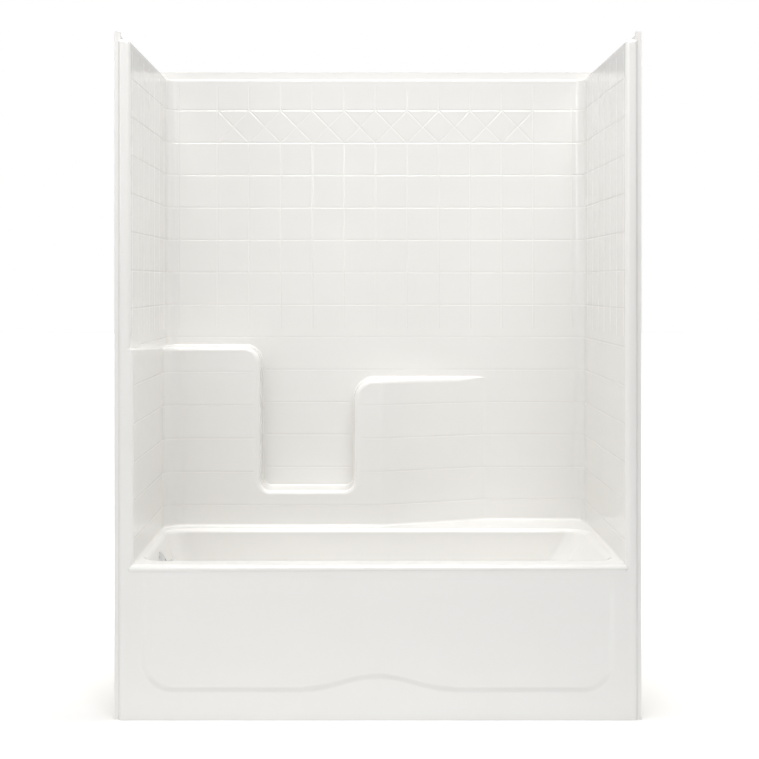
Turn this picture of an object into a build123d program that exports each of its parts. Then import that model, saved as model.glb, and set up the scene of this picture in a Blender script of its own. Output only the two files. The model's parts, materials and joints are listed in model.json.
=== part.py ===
from build123d import *
import math
import os

# Tub and shower unit: a moulded alcove bathtub with three tiled walls,
# timber stiffening behind the laminate and a trip-lever waste and overflow.
# Millimetres. X runs left to right, Y runs from the open front to the back
# wall, Z is up. The origin is at the bottom centre of the whole unit.

os.makedirs("parts", exist_ok=True)

# Overall sizes of the moulding
unit_width = 1524.0
unit_depth = 813.0
unit_height = 1989.0
finished_height = 1961.0
laminate = 5.0

# Front columns and nailing flanges
column_width = 47.0
flange_width = 13.0
flange_setback = 10.0
top_ledge = 30.0
wall_corner_radius = 40.0

# Ledges moulded into the lower walls
ledge_depth = 125.0
side_ledge_depth = 8.0
left_ledge_height = 1048.0
recess_shelf_height = 566.0
right_ledge_height = 938.0
recess_left = -388.0
recess_right = -73.0
slant_start = 20.0
slant_end = 373.0
left_ledge_radius = 57.0
recess_radius = 34.0
right_ledge_radius = 70.0
ledge_corner_radius = 60.0

# Tub deck, threshold and apron
deck_height = 448.0
threshold_width = 75.0
back_deck_edge = 598.0
nose_projection = 3.0
nose_radius = 11.0
lip_left_height = 429.0
lip_right_height = 436.0
apron_panel_half_width = 675.0
apron_panel_bottom = 88.0
apron_panel_arch = 40.0
apron_panel_arch_half = 220.0
apron_panel_corner = 84.0
apron_panel_recess = 4.0
apron_foot_width = 25.0
apron_panel_top_clear = 12.0

# Basin, measured at the deck edge
basin_left = -687.0
basin_right = 690.0
basin_corner = 65.0
basin_edge_round = 10.0
basin_floor = 100.0
basin_floor_round = 30.0
drain_end_slope = 16.8
lounge_end_slope = 35.0
side_slope = 7.0

# Wall tiles, pressed into the laminate as shallow grooves
tile_width = 108.5
tile_height = 111.4
tile_columns = 10
first_row_height = 1855.0
tile_rows = 13
groove_width = 4.0
groove_depth = 1.2
groove_top_clear = 26.0
groove_front_clear = 12.0
side_tile_columns = 7

# Timber behind the laminate
wall_strip_width = 90.0
wall_strip_thickness = 19.0
wall_strip_bottom = 480.0
wall_strip_spacing = 480.0
side_strip_spacing = 300.0
board_thickness = 15.0
runner_width = 38.0
runner_half_spacing = 150.0
cleat_spacing = 300.0
brace_size = 38.0
brace_spacing = 440.0
post_spacing = 616.0
threshold_board_width = 44.0
threshold_board_thickness = 12.0

# Waste and overflow
pipe_radius = 19.0
pipe_wall = 1.5
socket_wall = 3.0
slip_clearance = 0.1
socket_length = 20.0
nut_length = 16.0
nut_radius = 29.0
nut_wall_gap = 0.1
nut_sides = 8
washer_thickness = 3.0
overflow_height = 386.0
overflow_hole_radius = 29.5
plate_radius = 38.0
plate_height = 12.0
plate_wall = 1.5
plate_slot_width = 9.0
plate_slot_length = 22.0
plate_screw_offset = 26.0
head_chamber_radius = 29.0
head_wall = 3.0
head_flange_radius = 38.0
head_flange_thickness = 4.0
head_depth = 72.0
head_window_height = 40.0
head_socket_drop = 66.0
gasket_thickness = 4.0
drain_x = -500.0
drain_hole_radius = 24.3
drain_body_radius = 24.0
drain_body_bore = 21.0
drain_body_length = 38.0
drain_flange_radius = 38.0
drain_flange_thickness = 2.5
shoe_flange_radius = 36.0
shoe_flange_thickness = 6.0
shoe_bore = 25.0
shoe_wall = 4.0
shoe_bottom = 36.0
shoe_gasket_thickness = 5.0
shoe_room = 9.0
waste_height = 62.0
tee_half_height = 36.0
tee_foot = 28.0
tee_foot_socket = 8.0
tailpiece_neck_radius = 18.4
tailpiece_neck_gap = 1.0
tee_reach = 38.0
tailpiece_bottom = 6.0

# Trip lever and its plunger
lever_thickness = 6.0
lever_width = 7.0
lever_reach = 46.8
lever_grip = 34.0
pivot_depth = 2.0
pin_radius = 1.5
pin_clearance = 0.05
knob_radius = 3.0
fork_clearance = 3.0
fork_bar = 2.5
fork_behind = 7.0
fork_ahead = 9.5
rod_radius = 2.0
plunger_clearance = 0.3
plunger_length = 50.0
plunger_wall = 2.0

# Places that follow from the sizes above
half_width = unit_width / 2
inner_half = half_width - column_width
front_y = -unit_depth / 2
face_y = front_y + nose_projection
outer_y = unit_depth / 2
back_y = outer_y - top_ledge
ledge_y = back_y - ledge_depth
basin_front_y = front_y + threshold_width
basin_back_y = front_y + back_deck_edge
drain_y = (basin_front_y + basin_back_y) / 2
side_tile_offset = tile_width + (1 - math.pi / 2) * wall_corner_radius
reach = 60.0


def ledge_block(inset):
    """The ledges as one block behind the wall line, drawn in by a skin."""
    slant_run = slant_end - slant_start
    slant_length = math.hypot(slant_run, ledge_depth)
    left = -half_width - reach
    far = back_y + reach
    edge_y = ledge_y + inset

    def slant_x(y):
        rise = y - ledge_y
        return slant_start + (slant_run * rise - slant_length * inset) / ledge_depth

    with BuildPart() as block:
        with BuildSketch(Plane.XZ.offset(-far)):
            with BuildLine():
                outline = FilletPolyline(
                    (left, deck_height - reach),
                    (left, left_ledge_height - inset),
                    (recess_left - inset, left_ledge_height - inset),
                    (recess_left - inset, recess_shelf_height - inset),
                    (recess_right + inset, recess_shelf_height - inset),
                    (recess_right + inset, right_ledge_height - inset),
                    (half_width, right_ledge_height - inset),
                    (half_width, deck_height - reach),
                    radius=[
                        inset + 1,
                        left_ledge_radius - inset,
                        recess_radius + inset,
                        recess_radius + inset,
                        right_ledge_radius - inset,
                        inset + 1,
                    ],
                )
                Line(outline @ 1, outline @ 0)
            make_face()
        extrude(amount=far - front_y + reach)
        with BuildSketch(Plane.XY.offset(deck_height - reach)):
            with BuildLine():
                side_x = -inner_half + side_ledge_depth - inset
                path = FilletPolyline(
                    (side_x, front_y - reach),
                    (side_x, edge_y),
                    (slant_x(edge_y), edge_y),
                    (slant_x(far), far),
                    radius=[ledge_corner_radius + inset, ledge_corner_radius - inset],
                )
                Polyline(path @ 1, (left, far), (left, front_y - reach), path @ 0)
            make_face()
        extrude(amount=unit_height, mode=Mode.INTERSECT)
    return block.part


def wall_space(grow, bottom, top):
    """The room between the three walls, grown into them by a skin."""
    with BuildPart() as room:
        with BuildSketch(Plane.XY.offset(bottom)):
            with Locations((0, (front_y - reach + back_y + grow) / 2)):
                Rectangle(2 * (inner_half + grow), back_y + grow - front_y + reach)
        extrude(amount=top - bottom)
        corners = room.edges().filter_by(Axis.Z).group_by(Axis.Y)[-1]
        fillet(corners, wall_corner_radius + grow)
        add(ledge_block(grow), mode=Mode.SUBTRACT)
    return room.part


def basin_section(drop, grow):
    """Half sizes and centre of the basin at a depth below the deck edge."""
    left = basin_left + drop * math.tan(math.radians(drain_end_slope)) - grow
    right = basin_right - drop * math.tan(math.radians(lounge_end_slope)) + grow
    inward = drop * math.tan(math.radians(side_slope))
    front = basin_front_y + inward - grow
    back = basin_back_y - inward + grow
    return left, right, front, back


def basin_space(grow):
    """The hollow of the basin, with eased deck and floor edges."""
    depth = deck_height - basin_floor
    steps = [
        (0.0, basin_edge_round),
        (0.3 * basin_edge_round, 0.35 * basin_edge_round),
        (basin_edge_round, 0.0),
        (depth - basin_floor_round, 0.0),
        (depth - 0.3 * basin_floor_round, -0.3 * basin_floor_round),
        (depth, -basin_floor_round),
    ]
    with BuildPart() as hollow:
        for drop, flare in steps:
            left, right, front, back = basin_section(drop, grow + flare)
            sink = grow if drop == depth else 0.0
            with BuildSketch(Plane.XY.offset(deck_height - drop - sink)):
                with Locations(((left + right) / 2, (front + back) / 2)):
                    RectangleRounded(right - left, back - front, basin_corner + grow + flare)
        loft(ruled=True)
    return hollow.part


def box_at(x_range, y_range, z_range):
    """A block between two corners."""
    with BuildPart() as block:
        with BuildSketch(Plane.XY.offset(z_range[0])):
            with Locations((sum(x_range) / 2, sum(y_range) / 2)):
                Rectangle(x_range[1] - x_range[0], y_range[1] - y_range[0])
        extrude(amount=z_range[1] - z_range[0])
    return block.part


def row_heights():
    return [first_row_height - row * tile_height for row in range(tile_rows)]


def tile_grooves():
    """Shallow grooves that mark the tiles on the three walls."""
    columns = [(n - tile_columns / 2) * tile_width for n in range(tile_columns + 1)]
    corner_lines = [wall_corner_radius - inner_half, inner_half - wall_corner_radius]
    full_columns = [columns[0], columns[-1]] + corner_lines
    band_top = first_row_height
    band_bottom = first_row_height - tile_height
    band_middle = (band_top + band_bottom) / 2
    tile_top = finished_height - groove_top_clear
    tile_bottom = left_ledge_height + reach
    diagonal_angle = math.degrees(math.atan2(tile_height, tile_width))
    diagonal_length = math.hypot(tile_width, tile_height) - groove_width
    side_start = front_y + groove_front_clear
    side_columns = [back_y - side_tile_offset - n * tile_width for n in range(side_tile_columns)]

    def upright(x, low, high):
        with Locations((x, (low + high) / 2)):
            Rectangle(groove_width, high - low)

    with BuildPart() as lines:
        with BuildSketch(Plane.XZ.offset(-outer_y)):
            with Locations(*[(0, height) for height in row_heights()]):
                Rectangle(unit_width, groove_width)
            for x in full_columns:
                upright(x, tile_bottom, tile_top)
            for x in columns[1:-1]:
                upright(x, tile_bottom, band_bottom)
                upright(x, band_top, tile_top)
            for x in columns[:-1]:
                for angle in (diagonal_angle, -diagonal_angle):
                    with Locations(Location((x + tile_width / 2, band_middle, 0), (0, 0, angle))):
                        Rectangle(diagonal_length, groove_width)
        extrude(amount=outer_y)
        with BuildSketch(Plane.YZ.offset(-half_width)):
            with Locations(*[((side_start + outer_y) / 2, height) for height in row_heights()]):
                Rectangle(outer_y - side_start, groove_width)
            for y in side_columns:
                upright(y, tile_bottom, tile_top)
        extrude(amount=unit_width)
        add(wall_space(groove_depth, deck_height + reach, finished_height), mode=Mode.INTERSECT)
    return lines.part


# Wall surround: three walls with ledges, front columns and nailing flanges
with BuildPart() as wall_surround:
    add(wall_space(laminate, deck_height, finished_height))
    add(wall_space(0, deck_height - 1, finished_height + 1), mode=Mode.SUBTRACT)
    with BuildSketch(Plane.XY.offset(deck_height - 1)):
        with Locations((0, face_y - reach)):
            Rectangle(2 * unit_width, 2 * reach)
    extrude(amount=unit_height, mode=Mode.SUBTRACT)
    for side in (-1, 1):
        face = sorted((side * inner_half, side * (half_width - flange_width)))
        add(box_at(face, (face_y, face_y + laminate), (0, finished_height)))
        step = sorted((side * (half_width - flange_width), side * (half_width - flange_width - laminate)))
        add(box_at(step, (face_y, face_y + flange_setback + laminate), (0, finished_height)))
        flange = sorted((side * (half_width - flange_width - laminate), side * half_width))
        add(box_at(flange, (face_y + flange_setback, face_y + flange_setback + laminate),
                   (0, unit_height)))
        cap = sorted((side * inner_half, side * half_width))
        add(box_at(cap, (face_y, outer_y), (finished_height - laminate, finished_height)))
        upstand = sorted((side * (half_width - laminate), side * half_width))
        add(box_at(upstand, (face_y + flange_setback, outer_y),
                   (finished_height - laminate, unit_height)))
    add(box_at((-half_width, half_width), (back_y, outer_y),
               (finished_height - laminate, finished_height)))
    add(box_at((-half_width, half_width), (outer_y - laminate, outer_y),
               (finished_height - laminate, unit_height)))
    add(tile_grooves(), mode=Mode.SUBTRACT)

# Tub base: deck, basin, threshold nose and apron
plate_plane = Plane(
    origin=(basin_left + (deck_height - overflow_height) * math.tan(math.radians(drain_end_slope)),
            drain_y, overflow_height),
    x_dir=(0, 1, 0),
    z_dir=(math.cos(math.radians(drain_end_slope)), 0, math.sin(math.radians(drain_end_slope))),
)
with BuildPart() as tub_base:
    add(box_at((-inner_half - laminate, inner_half + laminate), (face_y + laminate, back_y + laminate),
               (deck_height - laminate, deck_height)))
    add(box_at((-inner_half, inner_half), (face_y, face_y + 2 * laminate),
               (deck_height - laminate, deck_height)))
    add(basin_space(laminate))
    add(basin_space(0), mode=Mode.SUBTRACT)
    # Apron plate with its bottom foot, and the pad behind the recessed panel
    add(box_at((-inner_half, inner_half), (face_y, face_y + laminate), (0, deck_height)))
    add(box_at((-inner_half, inner_half), (face_y, face_y + apron_foot_width), (0, laminate)))
    for layer_grow, layer_start, layer_depth, layer_mode in (
        (laminate, laminate, apron_panel_recess, Mode.ADD),
        (0.0, 0.0, apron_panel_recess, Mode.SUBTRACT),
    ):
        with BuildSketch(Plane.XZ.offset(-(face_y + layer_start))):
            with BuildLine():
                low = apron_panel_bottom - layer_grow
                wide = apron_panel_half_width + layer_grow
                corner = apron_panel_corner + layer_grow
                top = lip_left_height - apron_panel_top_clear
                right_side = Line((wide, top), (wide, low + corner))
                right_round = RadiusArc(right_side @ 1, (wide - corner, low), corner)
                right_foot = Line(right_round @ 1, (apron_panel_arch_half, low))
                arch = Spline(
                    right_foot @ 1, (0, low + apron_panel_arch), (-apron_panel_arch_half, low),
                    tangents=[(-1, 0), (-1, 0)],
                )
                left_foot = Line(arch @ 1, (corner - wide, low))
                left_round = RadiusArc(left_foot @ 1, (-wide, low + corner), corner)
                left_side = Line(left_round @ 1, (-wide, top))
                Line(left_side @ 1, right_side @ 0)
            make_face()
        extrude(amount=-layer_depth, mode=layer_mode)
    # Threshold nose: a rounded edge whose lower lip climbs to the right
    with BuildSketch(Plane.YZ.offset(-inner_half)):
        with BuildLine():
            top_run = Line((face_y + 2 * laminate, deck_height), (front_y + nose_radius, deck_height))
            nose = RadiusArc(top_run @ 1, (front_y, deck_height - nose_radius), -nose_radius)
            Polyline(nose @ 1, (front_y, lip_left_height), (face_y + 2 * laminate, lip_left_height),
                     top_run @ 0)
        make_face()
    extrude(amount=2 * inner_half)
    with BuildSketch(Plane.XZ.offset(-face_y)):
        with BuildLine():
            Polyline((-inner_half, lip_left_height), (inner_half, lip_right_height),
                     (inner_half, lip_left_height - 1), (-inner_half, lip_left_height - 1), close=True)
        make_face()
    extrude(amount=nose_projection, mode=Mode.SUBTRACT)
    with BuildSketch(plate_plane.offset(-2 * laminate)):
        Circle(overflow_hole_radius)
    extrude(amount=4 * laminate, mode=Mode.SUBTRACT)
    with BuildSketch(Plane.XY.offset(basin_floor - 2 * laminate)):
        with Locations((drain_x, drain_y)):
            Circle(drain_hole_radius)
    extrude(amount=4 * laminate, mode=Mode.SUBTRACT)

# Timber strips bonded to the back of the three walls
strip_top = finished_height - laminate
with BuildPart() as back_wall_strips:
    with BuildSketch(Plane.XY.offset(wall_strip_bottom)):
        with Locations(*[(n * wall_strip_spacing, back_y + laminate + wall_strip_thickness / 2)
                         for n in (-1, 0, 1)]):
            Rectangle(wall_strip_width, wall_strip_thickness)
    extrude(amount=strip_top - wall_strip_bottom)


def side_strips(side):
    with BuildPart() as strips:
        with BuildSketch(Plane.XY.offset(deck_height)):
            with Locations(*[(side * (inner_half + laminate + wall_strip_thickness / 2),
                              n * side_strip_spacing) for n in (-0.5, 0.5)]):
                Rectangle(wall_strip_thickness, wall_strip_width)
        extrude(amount=strip_top - deck_height)
    return strips.part


left_wall_strips = side_strips(-1)
right_wall_strips = side_strips(1)

# Board under the basin floor, open round the waste fittings
board_top = basin_floor - laminate
board_bottom = board_top - board_thickness
floor_left, floor_right, floor_front, floor_back = basin_section(
    deck_height - basin_floor, -basin_floor_round)
shoe_clear = shoe_flange_radius + shoe_room
with BuildPart() as floor_board:
    with BuildSketch(Plane.XY.offset(board_bottom)):
        with Locations(((floor_left + floor_right) / 2, (floor_front + floor_back) / 2)):
            Rectangle(floor_right - floor_left, floor_back - floor_front)
        with Locations((drain_x, drain_y)):
            Circle(shoe_clear, mode=Mode.SUBTRACT)
        with Locations(((floor_left + drain_x) / 2, drain_y)):
            Rectangle(drain_x - floor_left, 2 * shoe_clear, mode=Mode.SUBTRACT)
    extrude(amount=board_thickness)

# Runners that carry the board on the room's floor, and the cleats between them
with BuildPart() as base_runners:
    with BuildSketch(Plane.XY):
        with Locations(*[((floor_left + floor_right) / 2, drain_y + side * runner_half_spacing)
                         for side in (-1, 1)]):
            Rectangle(floor_right - floor_left, runner_width)
    extrude(amount=board_bottom)

with BuildPart() as base_cleats:
    with BuildSketch(Plane.XY):
        with Locations(*[((floor_left + floor_right) / 2 + n * cleat_spacing, drain_y)
                         for n in (-1, 0, 1)]):
            Rectangle(runner_width, 2 * runner_half_spacing - runner_width)
    extrude(amount=board_bottom)

# Board bonded under the threshold, and the braces from it down to the floor
board_y = face_y + 2 * laminate + threshold_board_width / 2
under_deck = deck_height - laminate
with BuildPart() as threshold_board:
    with BuildSketch(Plane.XY.offset(under_deck - threshold_board_thickness)):
        with Locations((0, board_y)):
            Rectangle(2 * inner_half - 2 * laminate, threshold_board_width)
    extrude(amount=threshold_board_thickness)

with BuildPart() as apron_braces:
    with BuildSketch(Plane.XY.offset(laminate)):
        with Locations(*[(n * brace_spacing, face_y + 2 * laminate + brace_size / 2)
                         for n in (-1, 0, 1)]):
            Rectangle(brace_size, brace_size)
    extrude(amount=under_deck - threshold_board_thickness - laminate)

# Ledger under the back deck, and the posts that carry it
ledger_y = back_y + laminate - brace_size / 2
with BuildPart() as deck_ledger:
    with BuildSketch(Plane.XY.offset(under_deck - brace_size)):
        with Locations((0, ledger_y)):
            Rectangle(2 * inner_half, brace_size)
    extrude(amount=brace_size)

with BuildPart() as ledger_posts:
    with BuildSketch(Plane.XY):
        with Locations(*[(n * post_spacing, ledger_y) for n in (-1, 0, 1)]):
            Rectangle(brace_size, brace_size)
    extrude(amount=under_deck - brace_size)

# Trip lever: bar through the plate, pivoted just behind it
pivot_plane = plate_plane.offset(-pivot_depth)
pivot = pivot_plane.origin
rod_x = pivot.X - lever_reach * math.cos(math.radians(drain_end_slope))
knob_z = pivot.Z - lever_reach * math.sin(math.radians(drain_end_slope))
lever_plane = Plane(origin=pivot, x_dir=plate_plane.z_dir, z_dir=(0, 1, 0))
with BuildPart() as trip_lever:
    with BuildSketch(lever_plane.offset(-lever_thickness / 2)):
        with BuildLine():
            grip_start = plate_height + 2.0
            half = lever_width / 2
            tail = 2 - lever_reach
            Polyline((tail, -0.4 * half), (-8, -half), (grip_start, -half),
                     (lever_grip - 3, -half - 2.0))
            Polyline((tail, -0.4 * half), (tail, 0.4 * half), (-8, half), (grip_start, half),
                     (lever_grip - 3, half + 2.0))
            ThreePointArc((lever_grip - 3, half + 2.0), (lever_grip, 0), (lever_grip - 3, -half - 2.0))
        make_face()
        with Locations((-lever_reach, 0)):
            Circle(knob_radius)
        Circle(pin_radius + pin_clearance, mode=Mode.SUBTRACT)
    extrude(amount=lever_thickness)

# Pivot pin, held in the plate's two lugs
lug_thickness = 2.0
lug_gap = 0.5
lug_start = lever_thickness / 2 + lug_gap
pin_half = lug_start + lug_thickness
with BuildPart() as lever_pivot_pin:
    with BuildSketch(lever_plane.offset(-pin_half)):
        Circle(pin_radius)
    extrude(amount=2 * pin_half)

# Overflow plate: a domed cap with a slot for the lever
screw_radius = 2.5
screw_seat = 4.5
seat_boss = 3.0
with BuildPart() as overflow_plate:
    with BuildSketch(Plane(origin=plate_plane.origin, x_dir=plate_plane.x_dir,
                           z_dir=plate_plane.y_dir)):
        with BuildLine():
            outer = ThreePointArc((plate_radius, 0), (plate_radius * 0.72, -plate_height * 0.68),
                                  (0, -plate_height))
            inner = ThreePointArc((plate_radius - 2 * plate_wall, 0),
                                  (plate_radius * 0.68, -plate_height * 0.56),
                                  (0, plate_wall - plate_height))
            Line(outer @ 1, inner @ 1)
            Line(inner @ 0, outer @ 0)
        make_face()
    revolve(axis=Axis(plate_plane.origin, plate_plane.z_dir))
    with BuildSketch(plate_plane.offset(screw_seat - seat_boss)):
        with Locations((-plate_screw_offset, 0), (plate_screw_offset, 0)):
            Circle(2 * screw_radius + 2 * plate_wall)
    extrude(amount=seat_boss)
    with BuildSketch(plate_plane.offset(screw_seat)):
        with Locations((-plate_screw_offset, 0), (plate_screw_offset, 0)):
            Circle(2 * screw_radius + 2 * slip_clearance)
    extrude(amount=plate_height, mode=Mode.SUBTRACT)
    with BuildSketch(plate_plane):
        Rectangle(plate_slot_width, plate_slot_length)
        with Locations((-plate_screw_offset, 0), (plate_screw_offset, 0)):
            Circle(screw_radius + slip_clearance)
    extrude(amount=2 * plate_height, mode=Mode.SUBTRACT)
    for side in (-1, 1):
        with BuildSketch(lever_plane.offset(side * lug_start)):
            with BuildLine():
                lug_top = pivot_depth + plate_height - plate_wall / 2
                Polyline((lug_top, -6), (-4, -4), (-4, 4), (lug_top, 6), close=True)
            make_face()
        extrude(amount=side * lug_thickness)
    with BuildSketch(lever_plane.offset(-2 * pin_half)):
        Circle(pin_radius)
    extrude(amount=4 * pin_half, mode=Mode.SUBTRACT)

# Screws that draw the plate to the overflow head
screw_length = laminate + gasket_thickness + head_flange_thickness + 5.0
with BuildPart() as plate_screws:
    with BuildSketch(plate_plane.offset(screw_seat - screw_length - 4)):
        with Locations((-plate_screw_offset, 0), (plate_screw_offset, 0)):
            Circle(screw_radius)
    extrude(amount=screw_length + 4)
    with BuildSketch(plate_plane.offset(screw_seat)):
        with Locations((-plate_screw_offset, 0), (plate_screw_offset, 0)):
            Circle(2 * screw_radius)
            Rectangle(3 * screw_radius, 1.0, mode=Mode.SUBTRACT)
    extrude(amount=screw_radius)

# Overflow gasket between the basin wall and the head
with BuildPart() as overflow_gasket:
    with BuildSketch(plate_plane.offset(-laminate - gasket_thickness)):
        Circle(head_flange_radius)
        Circle(overflow_hole_radius + 1.0, mode=Mode.SUBTRACT)
    extrude(amount=gasket_thickness)

# Overflow head: chamber behind the wall with a socket for the down pipe
pipe_bore = pipe_radius - pipe_wall
socket_bore = pipe_radius + slip_clearance
socket_radius = socket_bore + socket_wall
head_front = laminate + gasket_thickness
socket_bottom = knob_z - head_socket_drop
head_plane = plate_plane.offset(-head_front)
with BuildPart() as overflow_head:
    with BuildSketch(head_plane.offset(-head_depth)):
        Circle(head_chamber_radius + head_wall)
    extrude(amount=head_depth)
    with BuildSketch(head_plane.offset(-head_flange_thickness)):
        Circle(head_flange_radius)
    extrude(amount=head_flange_thickness)
    with BuildSketch(Plane.XY.offset(socket_bottom)):
        with Locations((rod_x, drain_y)):
            Circle(socket_radius)
    extrude(amount=knob_z - socket_bottom)
    with BuildSketch(head_plane.offset(head_wall - head_depth)):
        Circle(head_chamber_radius)
    extrude(amount=head_depth - head_wall - head_flange_thickness, mode=Mode.SUBTRACT)
    with BuildSketch(head_plane.offset(-2 * head_flange_thickness)):
        Rectangle(2 * (plate_screw_offset - 2 * screw_radius), head_window_height)
    extrude(amount=3 * head_flange_thickness, mode=Mode.SUBTRACT)
    with BuildSketch(head_plane.offset(-2 * head_flange_thickness)):
        with Locations((-plate_screw_offset, 0), (plate_screw_offset, 0)):
            Circle(screw_radius + slip_clearance)
    extrude(amount=3 * head_flange_thickness, mode=Mode.SUBTRACT)
    with BuildSketch(Plane.XY.offset(socket_bottom - 1)):
        with Locations((rod_x, drain_y)):
            Circle(pipe_bore)
    extrude(amount=knob_z - socket_bottom + 1, mode=Mode.SUBTRACT)
    with BuildSketch(Plane.XY.offset(socket_bottom - 1)):
        with Locations((rod_x, drain_y)):
            Circle(socket_bore)
    extrude(amount=socket_length + 1, mode=Mode.SUBTRACT)

# Down pipe from the overflow head to the tee
tee_top = waste_height + tee_half_height + socket_length
pipe_bottom = tee_top - socket_length
pipe_top = socket_bottom + socket_length
with BuildPart() as overflow_pipe:
    with BuildSketch(Plane.XY.offset(pipe_bottom)):
        with Locations((rod_x, drain_y)):
            Circle(pipe_radius)
            Circle(pipe_bore, mode=Mode.SUBTRACT)
    extrude(amount=pipe_top - pipe_bottom)

# Waste tee with sockets for the down pipe, the branch pipe and the tailpiece
branch_plane = Plane(origin=(rod_x, drain_y, waste_height), x_dir=(0, 1, 0), z_dir=(1, 0, 0))
tee_bottom = waste_height - tee_foot
branch_end = tee_reach + socket_length
with BuildPart() as waste_tee:
    with BuildSketch(Plane.XY.offset(tee_bottom)):
        with Locations((rod_x, drain_y)):
            Circle(socket_radius)
    extrude(amount=tee_top - tee_bottom)
    with BuildSketch(branch_plane):
        Circle(socket_radius)
    extrude(amount=branch_end)
    with BuildSketch(Plane.XY.offset(tee_bottom - 1)):
        with Locations((rod_x, drain_y)):
            Circle(pipe_bore)
    extrude(amount=tee_top - tee_bottom + 2, mode=Mode.SUBTRACT)
    with BuildSketch(branch_plane):
        Circle(pipe_bore)
    extrude(amount=branch_end + 1, mode=Mode.SUBTRACT)
    with BuildSketch(branch_plane.offset(tee_reach)):
        Circle(socket_bore)
    extrude(amount=socket_length + 1, mode=Mode.SUBTRACT)
    with BuildSketch(Plane.XY.offset(pipe_bottom)):
        with Locations((rod_x, drain_y)):
            Circle(socket_bore)
    extrude(amount=socket_length + 1, mode=Mode.SUBTRACT)
    with BuildSketch(Plane.XY.offset(tee_bottom - 1)):
        with Locations((rod_x, drain_y)):
            Circle(tailpiece_neck_radius + slip_clearance)
    extrude(amount=tee_foot_socket + 1, mode=Mode.SUBTRACT)

# Tailpiece that leaves the tee downwards to the house drain, with a neck in the tee's foot
with BuildPart() as tailpiece:
    with BuildSketch(Plane.XY.offset(tailpiece_bottom)):
        with Locations((rod_x, drain_y)):
            Circle(pipe_radius)
    extrude(amount=tee_bottom - tailpiece_neck_gap - tailpiece_bottom)
    with BuildSketch(Plane.XY.offset(tailpiece_bottom)):
        with Locations((rod_x, drain_y)):
            Circle(tailpiece_neck_radius)
    extrude(amount=tee_bottom + tee_foot_socket - tailpiece_bottom)
    with BuildSketch(Plane.XY.offset(tailpiece_bottom)):
        with Locations((rod_x, drain_y)):
            Circle(pipe_bore)
    extrude(amount=tee_bottom + tee_foot_socket - tailpiece_bottom, mode=Mode.SUBTRACT)

# Waste shoe under the drain, with a socket facing the tee
shoe_top = board_top - shoe_gasket_thickness
shoe_socket_plane = Plane(origin=(drain_x, drain_y, waste_height), x_dir=(0, 1, 0), z_dir=(-1, 0, 0))
shoe_radius = shoe_bore + shoe_wall
shoe_reach = shoe_radius + 4.0
with BuildPart() as waste_shoe:
    with BuildSketch(Plane.XY.offset(shoe_bottom)):
        with Locations((drain_x, drain_y)):
            Circle(shoe_radius)
    extrude(amount=shoe_top - shoe_bottom)
    with BuildSketch(Plane.XY.offset(shoe_top - shoe_flange_thickness)):
        with Locations((drain_x, drain_y)):
            Circle(shoe_flange_radius)
    extrude(amount=shoe_flange_thickness)
    with BuildSketch(shoe_socket_plane):
        Circle(socket_radius)
    extrude(amount=shoe_reach + socket_length)
    with BuildSketch(Plane.XY.offset(shoe_bottom + shoe_wall)):
        with Locations((drain_x, drain_y)):
            Circle(shoe_bore)
    extrude(amount=shoe_top - shoe_bottom, mode=Mode.SUBTRACT)
    with BuildSketch(shoe_socket_plane):
        Circle(pipe_bore)
    extrude(amount=shoe_reach + socket_length + 1, mode=Mode.SUBTRACT)
    with BuildSketch(shoe_socket_plane.offset(shoe_reach)):
        Circle(socket_bore)
    extrude(amount=socket_length + 1, mode=Mode.SUBTRACT)

# Branch pipe from the shoe to the tee
branch_start_x = rod_x + tee_reach
branch_length = drain_x - shoe_reach - branch_start_x
with BuildPart() as waste_pipe:
    with BuildSketch(branch_plane.offset(tee_reach)):
        Circle(pipe_radius)
        Circle(pipe_bore, mode=Mode.SUBTRACT)
    extrude(amount=branch_length)

# Rubber ring between the basin floor and the shoe
with BuildPart() as shoe_gasket:
    with BuildSketch(Plane.XY.offset(shoe_top)):
        with Locations((drain_x, drain_y)):
            Circle(shoe_flange_radius)
            Circle(drain_hole_radius + 1.0, mode=Mode.SUBTRACT)
    extrude(amount=shoe_gasket_thickness)

# Drain flange, screwed through the floor into the shoe, with its cross bars
seat_drop = 4.0
with BuildPart() as drain_flange:
    with BuildSketch(Plane.XZ.offset(-drain_y)):
        with BuildLine():
            Polyline(
                (drain_x + drain_body_bore, basin_floor - drain_body_length),
                (drain_x + drain_body_radius, basin_floor - drain_body_length),
                (drain_x + drain_body_radius, basin_floor),
                (drain_x + drain_flange_radius, basin_floor),
                (drain_x + drain_flange_radius - 2, basin_floor + drain_flange_thickness * 0.6),
                (drain_x + drain_body_radius + 4, basin_floor + drain_flange_thickness),
                (drain_x + drain_body_bore, basin_floor + drain_flange_thickness * 0.4),
                close=True,
            )
        make_face()
    revolve(axis=Axis((drain_x, drain_y, 0), (0, 0, 1)))
    with BuildSketch(Plane.XY.offset(basin_floor - 3 * seat_drop)):
        with Locations((drain_x, drain_y)):
            Rectangle(2 * drain_body_bore + 1, 4)
            Rectangle(4, 2 * drain_body_bore + 1)
            Circle(5)
            Circle(screw_radius, mode=Mode.SUBTRACT)
    extrude(amount=seat_drop)

# Strainer disc that lies on the cross bars
strainer_z = basin_floor - 2 * seat_drop
with BuildPart() as drain_strainer:
    with BuildSketch(Plane.XY.offset(strainer_z)):
        with Locations((drain_x, drain_y)):
            Circle(drain_body_bore - 1.0)
            Circle(screw_radius, mode=Mode.SUBTRACT)
            for ring, count in ((8.5, 6), (15.0, 12)):
                with PolarLocations(ring, count):
                    Circle(2.2, mode=Mode.SUBTRACT)
    extrude(amount=2.0)

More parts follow.
